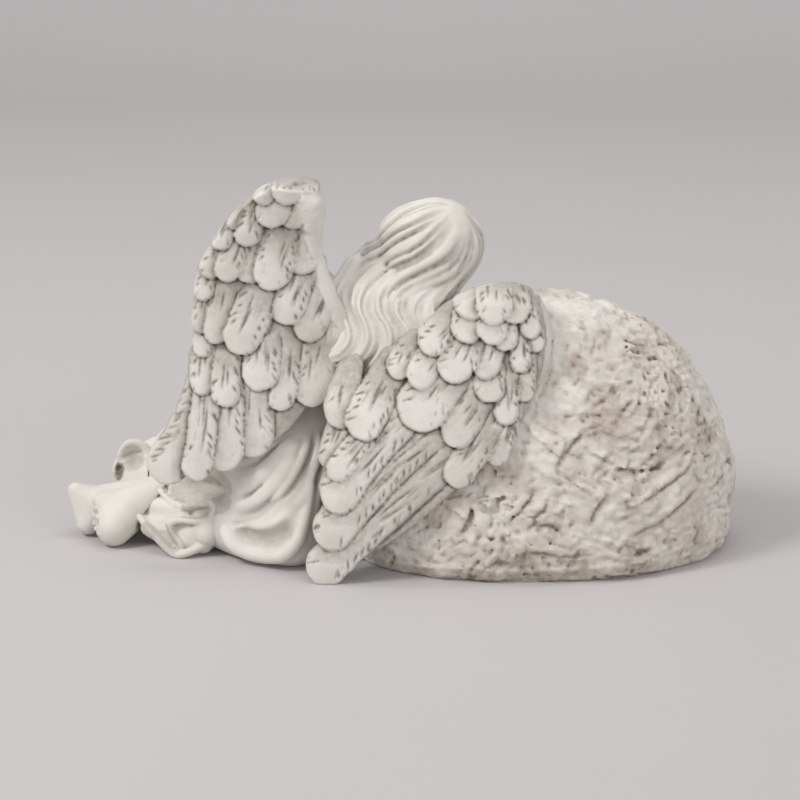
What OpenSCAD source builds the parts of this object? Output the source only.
// Reclining angel figurine, cast in resin.
// The hollow rock casting and the gown stand on the surface. The torso, head, hair, arms, feet and
// wings are separate castings, glued on over steel pins.
// +X runs from the feet to the rock, +Y is the side that the angel faces, and +Z is up. Millimetres.
// The origin is on the surface, under the middle of the figurine's bounding box.

/* [Rock] */
// Length of the rock
rock_l = 180; // [176:1:184]
// Depth of the rock, which is the depth of the whole figurine
rock_d = 132; // [130:1:138]
// Height of the rock's crest
rock_h = 115; // [110:1:118]
// Wall of the hollow rock casting
wall = 7; // [5:0.5:9]
// Thickness of the plate that closes the rock's underside
plate_t = 4; // [3:0.5:5]
// Radius of the rubber plug in that plate
plug_r = 9; // [7:0.5:12]

/* [Figure] */
// Length of the whole figurine, from the toes to the rock's far end
total_l = 304; // [302:1:306]
// Radius of the cranium
cranium_r = 17; // [16:0.5:18]
// Half the thickness of the wings at the wrist
wing_t = 8; // [6:0.5:9]

/* [Pins] */
// Radius of the wing, arm and ankle pins
pin_r = 1.5; // [1:0.25:2]
// Radius of the neck pin
neck_pin_r = 2; // [1.5:0.25:2.5]
// Radius of the dowels at the waist and between the gown and the rock
dowel_r = 3; // [2:0.5:4]
// Glue gap around each pin
glue_gap = 0.1; // [0.05:0.05:0.2]

/* [Hidden] */
resin = "#dcd8cd";
steel = "#9a9da0";
rubber = "#3a3a3a";
ball_fn = 24;    // facets round a ball inside a hull
around = 24;     // points round a lofted ring
fit_gap = 0.2;   // between the plate and the rock, and between the plug and the plate
big = 600;       // larger than the figurine

rock_x = total_l / 2 - rock_l / 2;   // middle of the rock
toe_x = -total_l / 2;                // tip of the far foot

// The torso's own directions: along the spine, towards the angel's left and out of the chest.
spine = unit([0.62, 0.05, 0.78]);
left_dir = unit([-0.72, 0.25, 0.60]);
chest = cross(left_dir, spine);

// The head's own directions: up through the crown and out through the nose.
head_up = unit([0.50, 0.06, 0.86]);
head_front = unit([-0.55, 0.75, 0.27]);
head_at = [13, 3, 136];

// ---- Shapes ---------------------------------------------------------------------------------

function unit(v) = v / norm(v);
function clamped(list, i) = list[max(0, min(len(list) - 1, i))];

// A point on the Catmull-Rom curve through a, b, c and d, a share t of the way from b to c.
function on_curve(a, b, c, d, t) =
    0.5 * ((2 * b) + (c - a) * t + (2 * a - 5 * b + 4 * c - d) * t * t
           + (3 * b - a - 3 * c + d) * t * t * t);

// Every value of a list, with a number of smooth steps between each and the next.
function smooth(list, steps) = [
    for (i = [0 : len(list) - 2], s = [0 : steps - 1])
        on_curve(clamped(list, i - 1), list[i], list[i + 1], clamped(list, i + 2), s / steps),
    list[len(list) - 1]
];

// An elliptical ring about c with the half axes u and v.
function oval(c, u, v) = [
    for (i = [0 : around - 1]) c + u * cos(360 * i / around) + v * sin(360 * i / around)
];

// A closed solid through rings of points that run anticlockwise as seen from the last ring.
module loft(rings) {
    n = len(rings[0]);
    last = (len(rings) - 1) * n;
    polyhedron(
        points = [for (r = rings) each r],
        faces = concat(
            [[for (i = [0 : n - 1]) i]],
            [for (j = [0 : len(rings) - 2], i = [0 : n - 1])
                [j * n + i, (j + 1) * n + (i + 1) % n, j * n + (i + 1) % n]],
            [for (j = [0 : len(rings) - 2], i = [0 : n - 1])
                [j * n + i, (j + 1) * n + i, (j + 1) * n + (i + 1) % n]],
            [[for (i = [n - 1 : -1 : 0]) last + i]]
        )
    );
}

// A ball, as part of a hull.
module ball(c, r) translate(c) sphere(r, $fn = ball_fn);

// A limb: balls hulled in pairs. Each ball is [centre, radius].
module limb(balls) {
    for (i = [0 : len(balls) - 2]) hull() {
        ball(balls[i][0], balls[i][1]);
        ball(balls[i + 1][0], balls[i + 1][1]);
    }
}

// One sculpted shell, with what lies below the surface that the figurine stands on cut away.
module sculpted() resize([0, 0, 0]) intersection() {
    translate([-big / 2, -big / 2, 0]) cube(big);
    union() children();
}

// A round pin of length l and radius r about c, along d.
module pin(c, d, l, r) {
    turn = acos(unit(d)[2]);
    axis = abs(sin(turn)) < 0.001 ? [1, 0, 0] : cross([0, 0, 1], unit(d));
    translate(c) rotate(a = turn, v = axis) cylinder(h = l, r = r, center = true, $fn = 32);
}

// ---- Rock -----------------------------------------------------------------------------------

// Outlines of the rock going up: height as a share of the crest's, the outline's middle in
// millimetres past the middle of the rock, and half length and half depth as shares of the largest.
rock_levels = [
    [0.00, 0, 0.955, 0.985], [0.06, 0, 0.985, 1.00], [0.16, 0, 1.00, 0.985], [0.31, 0, 1.00, 0.92],
    [0.50, 0, 0.935, 0.80], [0.66, 2, 0.82, 0.67], [0.80, 3, 0.66, 0.52], [0.90, 3, 0.52, 0.39],
    [0.96, 2, 0.37, 0.27], [0.99, 0, 0.21, 0.16], [1.00, -2, 0.08, 0.07]
];
rock_points = 36;
full_side = 2.7;   // the outline is fuller on the side where the angel lies
far_side = 2.05;

function bulge(v, p) = sign(v) * pow(abs(v), 2 / p);

// The rock's outline at a level, moved in by an offset.
function rock_ring(level, inset) = [
    for (i = [0 : rock_points - 1])
        let (
            a = 360 * i / rock_points,
            p = cos(a) < 0 ? full_side : far_side,
            lumps = 1 - 0.012 * (1 + sin(3 * a + 300 * level[0])) * (1 - abs(sin(a)) * abs(sin(a)))
        )
        [
            rock_x + level[1] + (level[2] * rock_l / 2 - inset) * bulge(cos(a), p)
                * (abs(cos(a)) > 0.99 ? 1 : lumps),
            (level[3] * rock_d / 2 - inset) * bulge(sin(a), p),
            level[0] * (rock_h - inset)
        ]
];

module rock_form() loft([for (level = rock_levels) rock_ring(level, 0)]);

// The hollow stops below the crest, where the outline is too small to hold it.
module rock_hollow()
    loft([for (level = rock_levels) if (level[0] <= 0.9) rock_ring(level, wall)]);

module plate_outline(inset) {
    ledge = wall - 2.5;   // the plate is let into the wall by this much less than its thickness
    polygon([for (p = rock_ring(rock_levels[0], ledge + inset)) [p[0], p[1]]]);
}

module rock_shell() color(resin) difference() {
    rock_form();
    rock_hollow();
    translate([0, 0, -1]) linear_extrude(plate_t + 1) plate_outline(0);
    rock_dowels_at(glue_gap);
}

module base_plate() color(resin) difference() {
    linear_extrude(plate_t) plate_outline(fit_gap);
    translate([rock_x, 0, -1]) cylinder(h = plate_t + 2, r = plug_r, $fn = 64);
}

module vent_plug() color(rubber) translate([rock_x, 0, 0]) {
    cylinder(h = plate_t, r = plug_r - fit_gap, $fn = 64);
    translate([0, 0, plate_t]) cylinder(h = 2, r = plug_r + 2, $fn = 64);
}

// ---- Gown -----------------------------------------------------------------------------------

// The hips, knees, shins and the cloth that spans them.
module skirt_form() hull() {
    ball([-52, -8, 33], 33);
    ball([-38, -6, 56], 20);
    ball([-48, -33, 12], 15);
    ball([-68, -26, 12], 13);
    ball([-97, 38, 24], 22);
    ball([-100, 8, 16], 15);
}

// The gathered hem round the ankles.
module hem_form() {
    hull() {
        ball([-84, -14, 14], 13);
        ball([-99, -25, 3], 4);
        ball([-113, -12, 9], 6);
        ball([-100, 6, 18], 15);
    }
    hull() {
        ball([-100, 30, 18], 18);
        ball([-127, 36, 22], 8);
        ball([-118, 14, 9], 9);
    }
}

module gown_skirt() color(resin) difference() {
    sculpted() difference() {
        skirt_form();
        rock_form();
    }
    rock_dowels_at(glue_gap);
    waist_dowel_at(glue_gap);
    ankle_pins_at(glue_gap);
}

module gown_hem() color(resin) difference() {
    sculpted() difference() {
        hem_form();
        skirt_form();
    }
    ankle_pins_at(glue_gap);
}

// ---- Torso, head and hair ---------------------------------------------------------------------

// Rings up the spine: centre, half depth from back to chest, and half width.
torso_rings = [
    [[-40, -2, 60], 15, 17], [[-31, 0, 72], 15, 18], [[-21, 2, 85], 17, 22], [[-10, 3, 97], 17, 25],
    [[-3, 3, 105], 15, 26], [[2, 3, 111], 11, 18], [[6, 3, 117], 8, 9], [[11, 3, 124], 7.5, 8]
];

module torso_form()
    loft([for (r = smooth(torso_rings, 2)) oval(r[0], chest * r[1], left_dir * r[2])]);

chin_at = head_at + head_front * 12 - head_up * 16;

module head_form() hull() {
    ball(head_at, cranium_r);
    ball(head_at + head_front * 4 + head_up * 1, cranium_r - 1);
    ball(chin_at, 5);
}

// The hair's mass: over the back of the head and down between the wings.
hair_fall = [[[8, -7, 121], 16], [[1, -13, 107], 13], [[-9, -17, 93], 10], [[-17, -20, 84], 5]];

module hair_form() {
    hull() {
        ball(head_at + [4, -3, 1], cranium_r + 3);
        ball(head_at + [-6, -1, 1], cranium_r + 0.5);
        ball(hair_fall[0][0], hair_fall[0][1]);
    }
    limb(hair_fall);
    limb([[[-6, 2, 129], 12], [[-16, -1, 121], 11], [[-25, -11, 108], 8], [[-24, -18, 92], 5]]);
    limb([[[-8, -6, 118], 12], [[-15, -13, 102], 9], [[-12, -19, 88], 6]]);
    limb([[[14, -8, 120], 12], [[12, -17, 106], 9], [[2, -23, 92], 6]]);
}

module torso() color(resin) difference() {
    sculpted() difference() {
        torso_form();
        skirt_form();
        rock_form();
    }
    waist_dowel_at(glue_gap);
    neck_pin_at(glue_gap);
    left_arm_pin_at(glue_gap);
    left_wing_pins_at(glue_gap);
    right_wing_pins_at(glue_gap);
}

module head() color(resin) difference() {
    sculpted() difference() {
        head_form();
        torso_form();
    }
    neck_pin_at(glue_gap);
}

module hair() color(resin) difference() {
    sculpted() difference() {
        hair_form();
        head_form();
        torso_form();
        rock_form();
        left_arm_form();
        right_arm_form();
        left_wing_form();
        right_wing_form();
    }
    left_wing_pins_at(glue_gap);
    right_wing_pins_at(glue_gap);
}

// ---- Arms and feet ----------------------------------------------------------------------------

// The left arm lies along the front of the rock, and the right hand holds the chin.
module left_arm_form()
    limb([[[-18, 9, 115], 8.5], [[-12, 47, 93], 6.5], [[24, 51, 91], 5], [[42, 45, 91], 5]]);
module right_arm_form()
    limb([[[12, 5, 97], 8], [[40, 40, 94], 6], [[8, 33, 108], 4.5], [[-3, 19, 119], 5]]);

module left_arm() color(resin) difference() {
    sculpted() difference() {
        left_arm_form();
        torso_form();
        rock_form();
    }
    left_arm_pin_at(glue_gap);
}

// The right arm is glued along the rock's crest, so it has no pin.
module right_arm() color(resin) sculpted() difference() {
    right_arm_form();
    torso_form();
    rock_form();
    head_form();
}

// The near foot: ankle, instep, heel and toes.
module left_foot_form() {
    hull() { ball([-104, 1, 25], 7); ball([-121, -6, 17], 9.5); }
    hull() { ball([-121, -6, 16], 9.5); ball([-129, -12, 8], 8); ball([-134, -4, 18], 5); }
}

// The far foot, whose toes point up.
module right_foot_form() {
    hull() { ball([-112, 12, 18], 8); ball([-137, 6, 14], 9); }
    hull() {
        ball([-136, 6, 13], 9);
        ball([toe_x + 3.5, 6, 21], 3.5);
        ball([toe_x + 9.5, 3, 6], 5.5);
    }
}

module left_foot() color(resin) difference() {
    sculpted() difference() {
        left_foot_form();
        hem_form();
        skirt_form();
    }
    ankle_pins_at(glue_gap);
}

module right_foot() color(resin) difference() {
    sculpted() difference() {
        right_foot_form();
        hem_form();
        skirt_form();
        left_foot_form();
    }
    ankle_pins_at(glue_gap);
}

// ---- Wings ------------------------------------------------------------------------------------

// A wing is a plate that is lofted from the feather tips to the wrist: each ring's centre, its half
// width across the wing as a vector, and half its thickness as a share of the wrist's.
left_wing_rings = [
    [[-84, -38, 41], [23, 0, 5], 0.3], [[-78, -38, 48], [31, 1, 8], 0.6],
    [[-66, -35, 63], [31, 2, 7], 0.7], [[-57, -30, 80], [31, 4, 4], 0.8],
    [[-56, -26, 97], [32, 6, 2], 0.9], [[-57, -23, 113], [32, 6, 0], 1.0],
    [[-58, -21, 128], [29, 5, 0], 1.05], [[-55, -20, 142], [26, 3, 0], 1.1],
    [[-50, -20, 154], [22, 1, 0], 1.1], [[-45, -20, 163], [17, 0, 0], 0.9],
    [[-44, -20, 168], [9, 0, 0], 0.45]
];
right_wing_rings = [
    [[-30, -62, 3], [8, -1, -1], 0.4], [[-22, -60, 16], [16, -3, -5], 0.6],
    [[-12, -57, 31], [21, -5, -9], 0.7], [[-2, -53, 47], [28, -6, -10], 0.75],
    [[8, -48, 62], [35, -7, -12], 0.8], [[23, -43, 78], [35, -7, -10], 0.85],
    [[34, -38, 93], [32, -5, -7], 0.9], [[42, -33, 105], [26, -3, -6], 1.0],
    [[48, -28, 117], [19, -1, -3], 0.9], [[51, -25, 123], [10, 0, -1], 0.45]
];

module wing_form(rings) {
    points = smooth(rings, 2);
    loft([
        for (i = [0 : len(points) - 1])
            let (
                along = unit(clamped(points, i + 1)[0] - clamped(points, i - 1)[0]),
                across = points[i][1]
            )
            oval(points[i][0], across, unit(cross(along, across)) * wing_t * points[i][2])
    ]);
}

module left_wing_form() {
    wing_form(left_wing_rings);
    limb([[[-38, -18, 105], 6], [[-20, -8, 104], 7]]);
}

module right_wing_form() {
    wing_form(right_wing_rings);
    limb([[[13, -34, 95], 7], [[0, -12, 99], 8]]);
}

module left_wing() color(resin) difference() {
    sculpted() difference() {
        left_wing_form();
        torso_form();
        skirt_form();
        left_arm_form();
    }
    left_wing_pins_at(glue_gap);
}

module right_wing() color(resin) difference() {
    sculpted() difference() {
        right_wing_form();
        torso_form();
        skirt_form();
        rock_form();
        right_arm_form();
    }
    right_wing_pins_at(glue_gap);
}

// ---- Pins and dowels --------------------------------------------------------------------------

module left_wing_pins_at(gap) {
    for (z = [102, 108]) pin([-25, -12, z], [-0.75, -0.6, 0], 18, pin_r + gap);
}
module right_wing_pins_at(gap) {
    for (z = [95, 101]) pin([1, -15, z], [13, -22, -4], 18, pin_r + gap);
}
module neck_pin_at(gap) pin([9, 3, 122], head_up, 18, neck_pin_r + gap);
module left_arm_pin_at(gap) pin([-16, 20, 108], [6, 38, -22], 18, pin_r + gap);
module ankle_pins_at(gap) {
    pin([-112, -2, 21], [-17, -7, -8], 20, pin_r + gap);
    pin([-117, 11.5, 17], [-1, -0.2, -0.15], 22, pin_r + gap);
}
module waist_dowel_at(gap) pin([-29, 0, 73], spine, 24, dowel_r + gap);
module rock_dowels_at(gap) {
    for (y = [-16, 10]) pin([-30, y, 26], [1, 0, 0], 16, dowel_r + gap);
}

module left_wing_pins() color(steel) left_wing_pins_at(0);
module right_wing_pins() color(steel) right_wing_pins_at(0);
module neck_pin() color(steel) neck_pin_at(0);
module left_arm_pin() color(steel) left_arm_pin_at(0);
module ankle_pins() color(steel) ankle_pins_at(0);
module waist_dowel() color(steel) waist_dowel_at(0);
module rock_dowels() color(steel) rock_dowels_at(0);

// ---- The figurine -----------------------------------------------------------------------------

rock_shell();
base_plate();
vent_plug();
gown_skirt();
gown_hem();
torso();
head();
hair();
left_arm();
right_arm();
left_foot();
right_foot();
left_wing();
right_wing();
left_wing_pins();
right_wing_pins();
neck_pin();
left_arm_pin();
ankle_pins();
waist_dowel();
rock_dowels();
